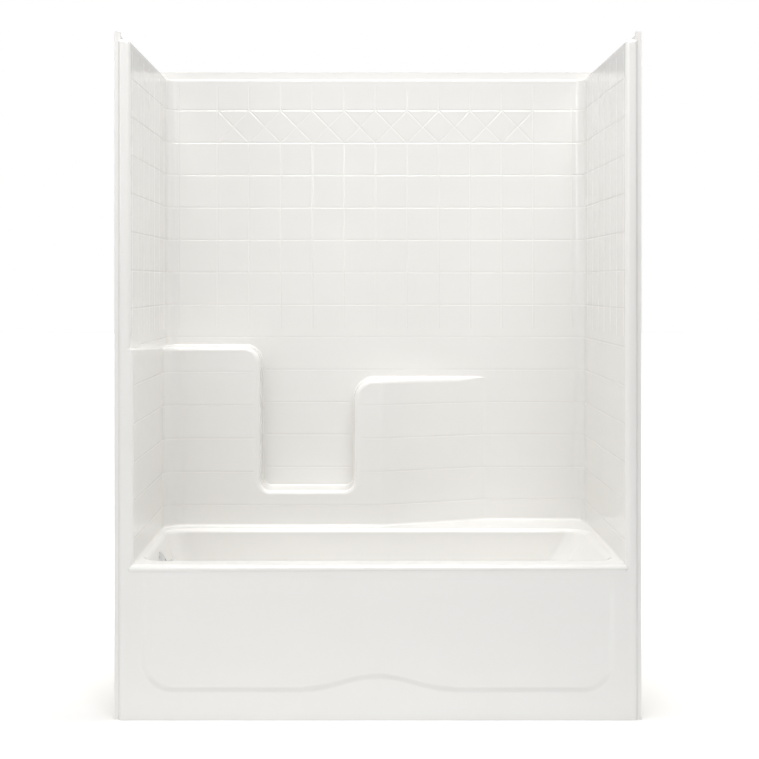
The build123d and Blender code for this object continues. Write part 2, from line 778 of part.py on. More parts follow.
with BuildPart() as strainer_screw:
    with BuildSketch(Plane.XY.offset(basin_floor - 4 * seat_drop)):
        with Locations((drain_x, drain_y)):
            Circle(screw_radius - slip_clearance)
    extrude(amount=2 * seat_drop + 2.0)
    with BuildSketch(Plane.XY.offset(strainer_z + 2.0)):
        with Locations((drain_x, drain_y)):
            Circle(1.9 * screw_radius)
            Rectangle(3 * screw_radius, 1.0, mode=Mode.SUBTRACT)
    extrude(amount=2.0)

# Slip nuts at the four pipe joints, each over a rubber washer
joint_planes = {
    "head": Plane(origin=(rod_x, drain_y, socket_bottom), x_dir=(1, 0, 0), z_dir=(0, 0, -1)),
    "tee_top": Plane(origin=(rod_x, drain_y, tee_top), x_dir=(1, 0, 0), z_dir=(0, 0, 1)),
    "tee_branch": branch_plane.offset(branch_end),
    "shoe": shoe_socket_plane.offset(shoe_reach + socket_length),
}
with BuildPart() as slip_nuts:
    for joint in joint_planes.values():
        with BuildSketch(joint.offset(washer_thickness)):
            RegularPolygon(nut_radius, nut_sides)
            Circle(pipe_radius + nut_wall_gap, mode=Mode.SUBTRACT)
        extrude(amount=socket_wall)
        with BuildSketch(joint.offset(washer_thickness + socket_wall - nut_length)):
            RegularPolygon(nut_radius, nut_sides)
            Circle(socket_radius + nut_wall_gap, mode=Mode.SUBTRACT)
        extrude(amount=nut_length - socket_wall)

with BuildPart() as slip_washers:
    for joint in joint_planes.values():
        with BuildSketch(joint):
            Circle(socket_radius)
            Circle(pipe_radius + nut_wall_gap, mode=Mode.SUBTRACT)
        extrude(amount=washer_thickness)

# Lift rod: a fork round the lever's knob, open towards the lever, on a long rod
plunger_top = waste_height + plunger_length
fork_half_height = knob_radius + fork_clearance + fork_bar
with BuildPart() as lift_rod:
    with BuildSketch(Plane(origin=(rod_x, drain_y, knob_z), x_dir=(1, 0, 0), z_dir=(0, -1, 0))):
        with Locations(((fork_ahead - fork_behind - fork_bar) / 2, 0)):
            Rectangle(fork_ahead + fork_behind + fork_bar, 2 * fork_half_height)
        with Locations(((fork_ahead - fork_behind + fork_bar) / 2, 0)):
            Rectangle(fork_ahead + fork_behind + fork_bar, 2 * (knob_radius + fork_clearance),
                      mode=Mode.SUBTRACT)
    extrude(amount=lever_thickness / 2, both=True)
    with BuildSketch(Plane.XY.offset(plunger_top - 2 * plunger_wall)):
        with Locations((rod_x, drain_y)):
            Circle(rod_radius)
    extrude(amount=knob_z - fork_half_height + fork_bar / 2 - plunger_top + 2 * plunger_wall)

# Plunger: a weighted sleeve that shuts off the branch
plunger_radius = pipe_bore - plunger_clearance
with BuildPart() as plunger:
    with BuildSketch(Plane.XY.offset(plunger_top - plunger_length)):
        with Locations((rod_x, drain_y)):
            Circle(plunger_radius)
            Circle(plunger_radius - plunger_wall, mode=Mode.SUBTRACT)
    extrude(amount=plunger_length)
    with BuildSketch(Plane.XY.offset(plunger_top - 2 * plunger_wall)):
        with Locations((rod_x, drain_y)):
            Rectangle(2 * plunger_radius - plunger_wall, 2 * plunger_wall)
            Circle(3 * rod_radius)
            Circle(rod_radius, mode=Mode.SUBTRACT)
    extrude(amount=2 * plunger_wall)

# Lock nut on the rod, above the plunger's bridge
with BuildPart() as plunger_nut:
    with BuildSketch(Plane.XY.offset(plunger_top)):
        with Locations((rod_x, drain_y)):
            RegularPolygon(2.4 * rod_radius, 6)
            Circle(rod_radius, mode=Mode.SUBTRACT)
    extrude(amount=1.6 * rod_radius)

pieces = {
    "wall_surround": wall_surround.part,
    "tub_base": tub_base.part,
    "back_wall_strips": back_wall_strips.part,
    "left_wall_strips": left_wall_strips,
    "right_wall_strips": right_wall_strips,
    "floor_board": floor_board.part,
    "base_runners": base_runners.part,
    "base_cleats": base_cleats.part,
    "threshold_board": threshold_board.part,
    "apron_braces": apron_braces.part,
    "deck_ledger": deck_ledger.part,
    "ledger_posts": ledger_posts.part,
    "trip_lever": trip_lever.part,
    "lever_pivot_pin": lever_pivot_pin.part,
    "overflow_plate": overflow_plate.part,
    "plate_screws": plate_screws.part,
    "overflow_gasket": overflow_gasket.part,
    "overflow_head": overflow_head.part,
    "overflow_pipe": overflow_pipe.part,
    "waste_tee": waste_tee.part,
    "tailpiece": tailpiece.part,
    "waste_shoe": waste_shoe.part,
    "waste_pipe": waste_pipe.part,
    "shoe_gasket": shoe_gasket.part,
    "drain_flange": drain_flange.part,
    "drain_strainer": drain_strainer.part,
    "strainer_screw": strainer_screw.part,
    "slip_nuts": slip_nuts.part,
    "slip_washers": slip_washers.part,
    "lift_rod": lift_rod.part,
    "plunger": plunger.part,
    "plunger_nut": plunger_nut.part,
}
for name, piece in pieces.items():
    piece.label = name
    export_step(piece, "parts/" + name + ".step")
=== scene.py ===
import bpy
import bmesh
import json
import math
import numpy as np
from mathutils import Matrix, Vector
from mathutils.geometry import delaunay_2d_cdt


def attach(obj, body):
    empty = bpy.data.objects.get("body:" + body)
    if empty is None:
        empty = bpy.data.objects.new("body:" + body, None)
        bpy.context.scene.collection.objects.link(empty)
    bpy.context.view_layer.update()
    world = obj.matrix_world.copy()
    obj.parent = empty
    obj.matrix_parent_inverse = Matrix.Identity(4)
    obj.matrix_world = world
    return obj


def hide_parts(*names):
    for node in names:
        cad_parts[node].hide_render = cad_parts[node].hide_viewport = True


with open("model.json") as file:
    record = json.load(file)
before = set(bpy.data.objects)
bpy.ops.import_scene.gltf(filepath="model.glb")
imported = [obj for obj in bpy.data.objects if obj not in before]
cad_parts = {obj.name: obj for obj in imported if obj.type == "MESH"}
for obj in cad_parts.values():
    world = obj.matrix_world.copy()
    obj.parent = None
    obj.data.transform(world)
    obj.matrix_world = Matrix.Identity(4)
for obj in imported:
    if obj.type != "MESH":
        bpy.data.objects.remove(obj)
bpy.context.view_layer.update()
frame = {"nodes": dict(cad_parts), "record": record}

# Sizes in millimetres, as in the CAD source
MM = 0.001
FRONT_Y, FACE_Y, BACK_Y, OUTER_Y = -406.5, -403.5, 376.5, 406.5
INNER_X, HALF_X = 715.0, 762.0
TOP_Z, FLANGE_Z, DECK_Z, FLOOR_Z = 1961.0, 1989.0, 448.0, 100.0
SKIN = 4.6
WALL_R = 40.0
LEDGE_Y, SIDE_STEP, LEDGE_R = 251.5, 8.0, 60.0
LEFT_Z, LEFT_FRONT_Z, SHELF_Z, RIGHT_Z = 1048.0, 1070.0, 566.0, 938.0
RECESS_L, RECESS_R = -388.0, -73.0
SLANT_A, SLANT_B = 20.0, 373.0
R_LEFT, R_SHELF, R_RIGHT = 57.0, 34.0, 70.0
EDGE_R, ROOT_R = 15.0, 6.0
FOOT_R = 9.0
BEAD_IN, BEAD_OUT, FLANGE_W, FLANGE_BACK = 14.0, 9.0, 13.0, 10.0
TOP_R = 7.0
TILE_W, TILE_H, ROW_0, ROWS, COLS = 108.5, 111.4, 1855.0, 13, 10
GROOVE_HALF, GROOVE_DEPTH = 4.4, 1.0
GROOVE_STEPS = (-1, -0.7, -0.35, 0, 0.35, 0.7, 1)
BEAD_Y = FACE_Y + BEAD_IN


# ---------- plan paths and skins ----------
class Path:
    """A line in plan with rounded corners; the room lies to the right of its direction."""

    def __init__(self, points, radii, step=7.5):
        pts = [np.array(p, float) for p in points]
        self.parts, self.marks = [], []
        at, length = pts[0], 0.0
        for i in range(1, len(pts)):
            if i < len(pts) - 1 and radii[i - 1] > 0:
                a, b = pts[i] - pts[i - 1], pts[i + 1] - pts[i]
                a, b = a / np.linalg.norm(a), b / np.linalg.norm(b)
                turn = math.atan2(a[0] * b[1] - a[1] * b[0], float(a @ b))
                r = radii[i - 1]
                cut = r * math.tan(abs(turn) / 2)
                end = pts[i] - a * cut
                length = self._line(at, end, length)
                side = 1.0 if turn > 0 else -1.0
                left = np.array([-a[1], a[0]]) * side
                centre = end + left * r
                n = max(3, int(round(math.degrees(abs(turn)) / step)))
                self.parts.append(("arc", length, length + r * abs(turn), centre, r,
                                   math.atan2(*(end - centre)[::-1]), side))
                self.marks += [length + r * abs(turn) * k / n for k in range(n + 1)]
                length += r * abs(turn)
                at = pts[i] + b * cut
            else:
                length = self._line(at, pts[i], length)
                at = pts[i]
        self.length = length

    def _line(self, a, b, length):
        size = float(np.linalg.norm(b - a))
        if size > 1e-6:
            self.parts.append(("line", length, length + size, a, (b - a) / size, 0, 0))
        return length + size

    def at(self, s):
        """Points and room-side normals at the lengths s."""
        s = np.clip(np.atleast_1d(np.asarray(s, float)), 0.0, self.length)
        p, n = np.zeros((len(s), 2)), np.zeros((len(s), 2))
        for i, part in enumerate(self.parts):
            kind, a, b, c, d, start, side = part
            pick = (s >= a - 1e-6) & (s <= b + 1e-6)
            u = np.clip(s[pick] - a, 0, b - a)
            if kind == "line":
                p[pick] = c + u[:, None] * d
                n[pick] = (d[1], -d[0])
            else:
                angle = start + side * u / d
                ring = np.stack([np.cos(angle), np.sin(angle)], 1)
                p[pick] = c + d * ring
                n[pick] = ring * side
        return p, n


def place(path, s, z, depth=0.0):
    """Points in space on a wall, sunk into it by depth."""
    p, n = path.at(s)
    p = p - n * np.broadcast_to(depth, (len(p),))[:, None]
    return np.column_stack([p, np.broadcast_to(z, (len(p),))])


class Skin:
    """Patches of one moulded surface."""

    def __init__(self):
        self.points, self.faces, self.count = [], [], 0

    def add(self, points, faces):
        self.points.append(np.asarray(points, float))
        self.faces += [tuple(i + self.count for i in f) for f in faces]
        self.count += len(points)

    def grid(self, rows, closed=False):
        rows = np.asarray(rows, float)
        r, c = rows.shape[:2]
        faces = [(i * c + j, i * c + (j + 1) % c, (i + 1) * c + (j + 1) % c, (i + 1) * c + j)
                 for i in range(r - 1) for j in range(c if closed else c - 1)]
        self.add(rows.reshape(-1, 3), faces)


def outline_gap(points, loop):
    """Distance from points to a closed outline, negative outside."""
    points, a = np.asarray(points, float), np.asarray(loop, float)
    b = np.roll(a, -1, 0)
    d = b - a
    size = np.maximum((d ** 2).sum(1), 1e-12)
    rel = points[:, None] - a[None]
    t = np.clip((rel * d).sum(2) / size, 0, 1)
    gap = np.sqrt(((rel - t[..., None] * d) ** 2).sum(2)).min(1)
    y, ya, yb = points[:, None, 1], a[None, :, 1], b[None, :, 1]
    with np.errstate(divide="ignore", invalid="ignore"):
        cross = a[None, :, 0] + (y - ya) / (yb - ya) * d[None, :, 0]
    inside = (((ya > y) != (yb > y)) & (points[:, None, 0] < cross)).sum(1) % 2 == 1
    return np.where(inside, gap, -gap)


def fill(loops, lines=()):
    """Triangles that fill the first loop, without the other loops, along all the lines."""
    points, edges = [], []
    for loop in loops:
        start = len(points)
        points += [tuple(p) for p in loop]
        edges += [(start + i, start + (i + 1) % len(loop)) for i in range(len(loop))]
    for p, q in lines:
        points += [tuple(p), tuple(q)]
        edges.append((len(points) - 2, len(points) - 1))
    out = delaunay_2d_cdt([Vector(p) for p in points], edges, [], 1, 1e-3)
    flat = np.array([tuple(v) for v in out[0]])
    tris = [tuple(f) for f in out[2]]
    middle = np.array([flat[list(f)].mean(0) for f in tris])
    keep = outline_gap(middle, loops[0]) > 0
    for hole in loops[1:]:
        keep &= outline_gap(middle, hole) < 0
    return flat, [f for f, k in zip(tris, keep) if k]


def runs(start, direction, length, loop, margin, step=2.0):
    """The stretches of a straight line that stay inside an outline by a margin."""
    n = max(2, int(length / step))
    t = np.linspace(0, length, n)
    good = outline_gap(np.array(start) + t[:, None] * np.array(direction), loop) > margin
    out, begin = [], None
    for i in range(n):
        if good[i] and begin is None:
            begin = t[i]
        if begin is not None and (not good[i] or i == n - 1):
            if t[i] - begin > 20:
                out.append((begin, t[i - 1] if not good[i] else t[i]))
            begin = None
    return [(tuple(np.array(start) + a * np.array(direction)),
             tuple(np.array(start) + b * np.array(direction))) for a, b in out]


def groove_lines(p, q):
    """The lines that a groove's section needs, with a closed round end at both ends."""
    p, q = np.array(p), np.array(q)
    d = (q - p) / np.linalg.norm(q - p)
    n = np.array([-d[1], d[0]])
    h = GROOVE_HALF
    lines = [(p - d * h + n * k * h, q + d * h + n * k * h) for k in GROOVE_STEPS]
    for c in (p - d * h, p, q, q + d * h):
        lines.append((c - n * h, c + n * h))
    return lines


def groove_sink(points, segments):
    """How deep the grooves are at each point."""
    sink = np.zeros(len(points))
    for p, q in segments:
        p, q = np.array(p), np.array(q)
        d = q - p
        t = np.clip(((points - p) @ d) / (d @ d), 0, 1)
        u = np.linalg.norm(points - p - t[:, None] * d, axis=1) / GROOVE_HALF
        sink = np.maximum(sink, GROOVE_DEPTH * (0.5 + 0.5 * np.cos(math.pi * np.clip(u, 0, 1))))
    return sink


def quarter(n):
    """Angles that divide a quarter turn into n steps."""
    return [math.pi / 2 * k / n for k in range(n + 1)]


def versin(a):
    return 1 - math.cos(a)


def coversin(a):
    return 1 - math.sin(a)


def circle(radius, x=0.0, y=0.0, count=48):
    turns = [2 * math.pi * k / count for k in range(count)]
    return [(x + radius * math.cos(a), y + radius * math.sin(a)) for a in turns]


# ---------- walls with ledges ----------
upper = Path([(-INNER_X, BEAD_Y), (-INNER_X, BACK_Y), (INNER_X, BACK_Y), (INNER_X, BEAD_Y)],
             [WALL_R, WALL_R])
STEP_X = -INNER_X + SIDE_STEP
lower = Path([(STEP_X, BEAD_Y), (STEP_X, LEDGE_Y), (SLANT_A, LEDGE_Y), (SLANT_B, BACK_Y),
              (INNER_X, BACK_Y), (INNER_X, BEAD_Y)],
             [LEDGE_R, LEDGE_R, LEDGE_R, WALL_R])
up_back = (BACK_Y - WALL_R - BEAD_Y) + WALL_R * math.pi / 2
low_back = (LEDGE_Y - LEDGE_R - BEAD_Y) + LEDGE_R * math.pi / 2


def up_s(x):
    """Length along the upper path at x on the back wall."""
    return up_back + (x + INNER_X - WALL_R)


def low_s(x):
    """Length along the lower path at x on the ledges' front."""
    return low_back + (x - STEP_X - LEDGE_R)


def ledge_samples():
    """The ledges' edge from the left front to where it dies out: lengths, height, normal."""
    rows = []
    corner = LEDGE_Y - LEDGE_R - BEAD_Y
    for k in range(13):
        t = k / 12
        rows.append((corner * t, corner * t, LEFT_FRONT_Z + (LEFT_Z - LEFT_FRONT_Z) * t, 90))
    span = up_s(STEP_X + LEDGE_R) - corner
    turns = [(m - corner) / span for m in upper.marks]
    for t in sorted(set([k / 12 for k in range(1, 13)] + [t for t in turns if 0.001 < t < 0.999])):
        rows.append((corner + LEDGE_R * math.pi / 2 * t, corner + span * t, LEFT_Z, 90))
    x0, x1 = STEP_X + LEDGE_R, RECESS_L - R_LEFT
    for k in range(1, 7):
        x = x0 + (x1 - x0) * k / 6
        rows.append((low_s(x), up_s(x), LEFT_Z, 90))

    def turn(cx, cz, r, a0, a1, sign, n=10):
        for k in range(1, n + 1):
            a = a0 + (a1 - a0) * k / n
            x = cx + sign * r * math.cos(math.radians(a))
            z = cz + sign * r * math.sin(math.radians(a))
            rows.append((low_s(x), up_s(x), z, a))

    def run(xa, za, xb, zb, a, n):
        for k in range(1, n + 1):
            x, z = xa + (xb - xa) * k / n, za + (zb - za) * k / n
            rows.append((low_s(x), up_s(x), z, a))

    turn(RECESS_L - R_LEFT, LEFT_Z - R_LEFT, R_LEFT, 90, 0, 1)
    run(RECESS_L, LEFT_Z - R_LEFT, RECESS_L, SHELF_Z + R_SHELF, 0, 8)
    turn(RECESS_L + R_SHELF, SHELF_Z + R_SHELF, R_SHELF, 0, 90, -1)
    run(RECESS_L + R_SHELF, SHELF_Z, RECESS_R - R_SHELF, SHELF_Z, 90, 6)
    turn(RECESS_R - R_SHELF, SHELF_Z + R_SHELF, R_SHELF, 90, 180, -1)
    run(RECESS_R, SHELF_Z + R_SHELF, RECESS_R, RIGHT_Z - R_RIGHT, 180, 6)
    turn(RECESS_R + R_RIGHT, RIGHT_Z - R_RIGHT, R_RIGHT, 180, 90, 1)
    first = rows[-1][0]
    last = lower.parts[6][1]
    marks = sorted(set([m for m in lower.marks if first + 1 < m < last - 1]
                       + list(np.linspace(first, last, 26)[1:])))
    for s in marks:
        x = lower.at(s)[0][0, 0]
        rows.append((s, up_s(x), RIGHT_Z, 90))
    return np.array(rows)


ledge = ledge_samples()


def ledge_strip():
    """The shelves, rounded over at the front and into the wall at the back."""
    s_low, s_up, z, angle = ledge.T
    f, _ = lower.at(s_low)
    g, _ = upper.at(s_up)
    across = g - f
    depth = np.linalg.norm(across, axis=1)
    way = across / np.maximum(depth, 1e-9)[:, None]
    r1, r2 = np.minimum(EDGE_R, 0.5 * depth), np.minimum(ROOT_R, 0.4 * depth)
    ns, nz = np.cos(np.radians(angle)), np.sin(np.radians(angle))
    ns[np.abs(ns) < 1e-9] = 0
    up = np.column_stack([ns, np.zeros(len(ns)), nz])
    into = np.column_stack([way, np.zeros(len(way))])
    f3, g3 = np.column_stack([f, z]), np.column_stack([g, z])
    rows = []
    for a in quarter(8):
        rows.append(f3 + r1[:, None] * (up * (math.sin(a) - 1) + into * versin(a)))
    for t in (0.25, 0.5, 0.75):
        flat = f3 + into * (r1 + (depth - r1 - r2) * t)[:, None]
        rows.append(flat)
    for a in quarter(6):
        rows.append(g3 + r2[:, None] * (up * versin(a) + into * (math.sin(a) - 1)))
    low_edge = np.column_stack([s_low - r1 * ns, z - r1 * nz])
    up_edge = np.column_stack([s_up + r2 * ns, z + r2 * nz])
    return np.array(rows), low_edge, up_edge


shelf_rows, low_edge, up_edge = ledge_strip()
crease_s = lower.parts[6][1]
crease_x = lower.at(crease_s)[0][0, 0]

# Along the wall right of the ledges, both regions share one level line
right_low = [crease_s] + [m for m in lower.marks if m > crease_s + 1] + [lower.length]
right_pts = [(s, s - crease_s + up_s(crease_x)) for s in right_low]


def foot_radius(s):
    """The foot fillet's radius, which dies out at both front ends."""
    return 0.4 + (FOOT_R - 0.4) * np.clip(np.minimum(s, lower.length - s) / 40, 0, 1)


foot_s = sorted(set([0.0, lower.length] + list(lower.marks) + list(np.linspace(0, 60, 7))
                    + list(lower.length - np.linspace(0, 60, 7))))
foot_s = [s for i, s in enumerate(foot_s) if i == 0 or s - foot_s[i - 1] > 1e-6]
foot_s = np.array(foot_s)
low_loop = [(s, DECK_Z + foot_radius(s)) for s in foot_s]
low_loop += [(s, RIGHT_Z) for s, _ in right_pts[::-1]][:-1]
low_loop += [tuple(p) for p in low_edge[::-1]]
top_s = sorted(set([0.0, upper.length] + list(upper.marks)))
up_loop = [tuple(p) for p in up_edge]
up_loop += [(u, RIGHT_Z) for _, u in right_pts[1:]]
up_loop += [(s, TOP_Z - TOP_R) for s in top_s[::-1]]

columns = [(n - COLS / 2) * TILE_W for n in range(COLS + 1)]
corner_lines = [WALL_R - INNER_X, INNER_X - WALL_R]
row_z = [ROW_0 - n * TILE_H for n in range(ROWS)]
side_y = [BACK_Y - TILE_W - (1 - math.pi / 2) * WALL_R - n * TILE_W for n in range(7)]
TILE_TOP, TILE_LOW = TOP_Z - 26, LEFT_Z + 60


def region(path, loop, is_upper):
    """One stretch of wall between its loop's edges, with the tile grooves pressed in."""
    grooves = []
    for z in row_z:
        grooves += runs((0, z), (1, 0), path.length, loop, 9.0)
    if is_upper:
        for x in columns[1:-1]:
            grooves.append(((up_s(x), TILE_LOW), (up_s(x), ROW_0 - TILE_H)))
            grooves.append(((up_s(x), ROW_0), (up_s(x), TILE_TOP)))
        sides = [y - BEAD_Y for y in side_y]
        full = [up_s(x) for x in [columns[0], columns[-1]] + corner_lines]
        for s in full + sides + [path.length - s for s in sides]:
            if 12 < s < path.length - 12:
                grooves.append(((s, TILE_LOW), (s, TILE_TOP)))
        for x in columns[:-1]:
            a, b = up_s(x), up_s(x + TILE_W)
            low, high = ROW_0 - TILE_H, ROW_0
            grooves += [((a, low), (b, high)), ((a, high), (b, low))]
    lines = [line for p, q in grooves for line in groove_lines(p, q)]
    shape = np.array(loop)
    for s in path.marks:
        hits = []
        for (s0, z0), (s1, z1) in zip(shape, np.roll(shape, -1, 0)):
            if (s0 - s) * (s1 - s) < 0 or abs(s0 - s) < 1e-6:
                hits.append(z0 if abs(s0 - s) < 1e-6 else z0 + (s - s0) / (s1 - s0) * (z1 - z0))
        if len(hits) >= 2:
            lines.append(((s, min(hits)), (s, max(hits))))
    flat, tris = fill([loop], lines)
    sink = groove_sink(flat, grooves)
    edge = np.abs(outline_gap(flat, loop)) < 0.05
    sink[edge] = 0
    return place(path, flat[:, 0], flat[:, 1], sink), tris


walls = Skin()
walls.grid(shelf_rows)
for patch in (region(lower, low_loop, False), region(upper, up_loop, True)):
    walls.add(*patch)

# Foot fillet from the walls to the deck
p, n = lower.at(foot_s)
foot_r = foot_radius(foot_s)
foot_rows = []
for a in quarter(5):
    out = p + n * (foot_r * versin(a))[:, None]
    foot_rows.append(np.column_stack([out, DECK_Z + foot_r * coversin(a)]))
walls.grid(foot_rows)
foot_edge = foot_rows[-1][:, :2]

# Rounding along the wall tops, the ledge behind it and the nailing flange
p, n = upper.at(top_s)
top_rows = []
for a in quarter(6):
    out = p - n * TOP_R * versin(a)
    top_rows.append(np.column_stack([out, np.full(len(p), TOP_Z - TOP_R * coversin(a))]))
walls.grid(top_rows)
ROOT = 4.0
RIM_X, RIM_Y = HALF_X - 5.0, OUTER_Y - 5.0
rim = Path([(-RIM_X, BEAD_Y), (-RIM_X, RIM_Y), (RIM_X, RIM_Y), (RIM_X, BEAD_Y)], [5.0, 5.0], 22.5)
rim_s = np.array(sorted(set([0.0, rim.length] + list(rim.marks))))
p, n = rim.at(rim_s)
rim_rows = []
for a in quarter(5):
    out = p + n * ROOT * coversin(a)
    rim_rows.append(np.column_stack([out, np.full(len(p), TOP_Z + ROOT * versin(a))]))
for z in (TOP_Z + 12, FLANGE_Z):
    rim_rows.append(np.column_stack([p, np.full(len(p), z)]))
walls.grid(rim_rows)
ledge_loop = [tuple(q[:2]) for q in top_rows[-1]] + [tuple(q[:2]) for q in rim_rows[0][::-1]]
flat, tris = fill([ledge_loop])
walls.add(np.column_stack([flat, np.full(len(flat), TOP_Z)]), tris)


# ---------- front columns ----------
def ease(t):
    t = np.clip(t, 0, 1)
    return t * t * (3 - 2 * t)


FACE_IN, FACE_OUT = INNER_X + BEAD_IN, HALF_X - FLANGE_W - BEAD_OUT
HIGH = 1966.0
BESIDE_APRON = (0.0, 300.0, 426.0, 434.0, 442.0)
FLUSH_Z, FLUSH_RISE = 430, 18    # below this height the column is flush with the apron


def bead(side, inner):
    """A column's rounded face; inner lists the alcove edge as (half width, height)."""
    inner = [(INNER_X, z) for z in BESIDE_APRON] + inner
    rows = []
    for x_in, z in inner:
        flush = float(ease((z - FLUSH_Z) / FLUSH_RISE))
        row = []
        for a in quarter(8):
            y = BEAD_Y + (FACE_Y - BEAD_Y) * math.sin(a)
            x = x_in + (FACE_IN - x_in) * versin(a)
            row.append((x, FACE_Y + (y - FACE_Y) * flush, z))
        row.append(((FACE_IN + FACE_OUT) / 2, FACE_Y, z))
        for a in quarter(6):
            row.append((FACE_OUT + BEAD_OUT * math.sin(a), FACE_Y + BEAD_OUT * versin(a), z))
        row.append((FACE_OUT + BEAD_OUT, FACE_Y + FLANGE_BACK + 4, z))
        rows.append(row)
    last = rows[-1]
    for a in quarter(7)[1:]:
        row = []
        for x, y, _ in last:
            w = min(1.0, (BEAD_Y - y) / (BEAD_Y - FACE_Y)) if x < FACE_IN else 1.0
            rise = (TOP_R + (HIGH - TOP_Z) * w) * math.sin(a)
            row.append((x + TOP_R * (1 - w) * versin(a), y + (BEAD_Y - y) * versin(a),
                        TOP_Z - TOP_R + rise))
        rows.append(row)
    rows.append([(x, y + 8, z - 0.25 * (z - TOP_Z)) for x, y, z in rows[-1]])
    rows.append([(x, y + 10, TOP_Z - 1) for x, y, z in rows[-1]])
    return np.array(rows) * (side, 1, 1)


right_z = [DECK_Z + 0.4, RIGHT_Z, TOP_Z - TOP_R]
walls.grid(bead(1, [(INNER_X, z) for z in right_z]))
left_in = [(-STEP_X, DECK_Z + 0.4)] + [(-x, z) for x, _, z in shelf_rows[:, 0]]
left_in.append((INNER_X, TOP_Z - TOP_R))
walls.grid(bead(-1, left_in))
for side in (-1, 1):
    x0, x1 = INNER_X + 29, HALF_X
    y = FACE_Y + FLANGE_BACK
    strip = [[(side * x, y, z) for x in (x0, (x0 + x1) / 2, x1)]
             for z in (0, 700, 1400, FLANGE_Z - 4)]
    strip.append([(side * (x0 + 2), y, FLANGE_Z), (side * (x0 + x1) / 2, y, FLANGE_Z),
                  (side * (x1 - 2), y, FLANGE_Z)])
    walls.grid(strip)

# ---------- tub: deck, nose and apron ----------
tub = Skin()
LIP_L, LIP_R = 429.0, 436.0
NOSE_FULL, NOSE_END = 714.6, 722.0
NOSE_Y, NOSE_Z, LIP_R1, LIP_R2 = FACE_Y + 3, 438.0, 1.6, 1.0


def lip(x):
    return LIP_L + (LIP_R - LIP_L) * (x + INNER_X) / (2 * INNER_X)


full_x = sorted(set([foot_edge[0, 0], foot_edge[-1, 0], -NOSE_FULL, NOSE_FULL]
                    + list(np.linspace(-660, 660, 23))))
end_x = [NOSE_FULL + (NOSE_END - NOSE_FULL) * math.sin(a) for a in quarter(7)[1:]]
nose_x = [-x for x in end_x[::-1]] + full_x + end_x
nose = []
for x in nose_x:
    low = lip(x)
    row = [(BEAD_Y + (FRONT_Y - BEAD_Y) * math.sin(a), DECK_Z - (DECK_Z - low - LIP_R1) * versin(a))
           for a in quarter(10)]
    row += [(FRONT_Y + LIP_R1 * versin(a), low + LIP_R1 * coversin(a)) for a in quarter(4)[1:]]
    row += [(FACE_Y - LIP_R2 + math.sin(a), low - LIP_R2 * versin(a)) for a in quarter(3)]
    past = max(0.0, abs(x) - NOSE_FULL) / (NOSE_END - NOSE_FULL)
    fade = math.sqrt(max(0.0, 1 - past ** 2))
    nose.append([(x, NOSE_Y + (y - NOSE_Y) * fade, NOSE_Z + (z - NOSE_Z) * fade) for y, z in row])
tub.grid(np.array(nose).transpose(1, 0, 2))

# Apron with its recessed panel and the turned-in foot
PANEL_X, PANEL_LOW, PANEL_ARCH, ARCH_HALF, PANEL_R, PANEL_DEEP = 675.0, 88.0, 40.0, 220.0, 84.0, 4.0
PANEL_TOP, PANEL_TOP_R, FADE_Z, FADE_SPAN = 398, 16, 424, 70
FOOT_EDGE, NOTCH_Z = 1.5, 444.0
half_panel = [(0.0, PANEL_LOW + PANEL_ARCH)]
for k in range(1, 17):
    t = k / 16
    half_panel.append((ARCH_HALF * t, PANEL_LOW + PANEL_ARCH * (1 - t * t * (3 - 2 * t))))
for k in range(13):
    a = math.pi / 2 * k / 12
    half_panel.append((PANEL_X - PANEL_R + PANEL_R * math.sin(a),
                       PANEL_LOW + PANEL_R * versin(a)))
half_panel += [(PANEL_X, 240), (PANEL_X, 330)]
for k in range(7):
    a = math.pi / 2 * k / 6
    half_panel.append((PANEL_X - PANEL_TOP_R * versin(a), PANEL_TOP + PANEL_TOP_R * math.sin(a)))
panel = half_panel + [(-x, z) for x, z in half_panel[:0:-1]]


def offset(loop, size):
    """A closed outline moved outwards by size."""
    a = np.array(loop)
    e = np.roll(a, -1, 0) - a
    n = np.column_stack([e[:, 1], -e[:, 0]]) / np.linalg.norm(e, axis=1)[:, None]
    m = n + np.roll(n, 1, 0)
    m /= np.linalg.norm(m, axis=1)[:, None]
    return a + m * (size / np.maximum((m * n).sum(1), 0.5))[:, None]


RAMP = 9.0
face_top = [(x, lip(x) - 1.0) for x in full_x]
apron_loop = [(x, FOOT_EDGE) for x in (-INNER_X, 0.0, INNER_X)]
apron_loop += [(INNER_X, NOTCH_Z), (NOSE_FULL, NOTCH_Z)] + face_top[::-1]
apron_loop += [(-NOSE_FULL, NOTCH_Z), (-INNER_X, NOTCH_Z)]
ramp_loops = [offset(panel, RAMP * k) for k in (-1, -0.5, 0, 0.5, 1)]
lines = [(tuple(a), tuple(b)) for loop in ramp_loops for a, b in zip(loop, np.roll(loop, -1, 0))]
lines += [((-INNER_X + 20, z), (INNER_X - 20, z))
          for z in range(FADE_Z - FADE_SPAN, FADE_Z + 1, 14)]
flat, tris = fill([apron_loop], lines)
sink = PANEL_DEEP * ease(outline_gap(flat, panel) / (2 * RAMP) + 0.5)
sink = sink * ease((FADE_Z - flat[:, 1]) / FADE_SPAN)
tub.add(np.column_stack([flat[:, 0], FACE_Y + sink, flat[:, 1]]), tris)
foot = []
for a in quarter(5):
    y, z = FACE_Y + FOOT_EDGE * versin(a), FOOT_EDGE - FOOT_EDGE * math.sin(a)
    foot.append([(x, y, z) for x in (-INNER_X, 0, INNER_X)])
foot.append([(x, FACE_Y + 25, 0.0) for x in (-INNER_X, 0, INNER_X)])
tub.grid(foot)

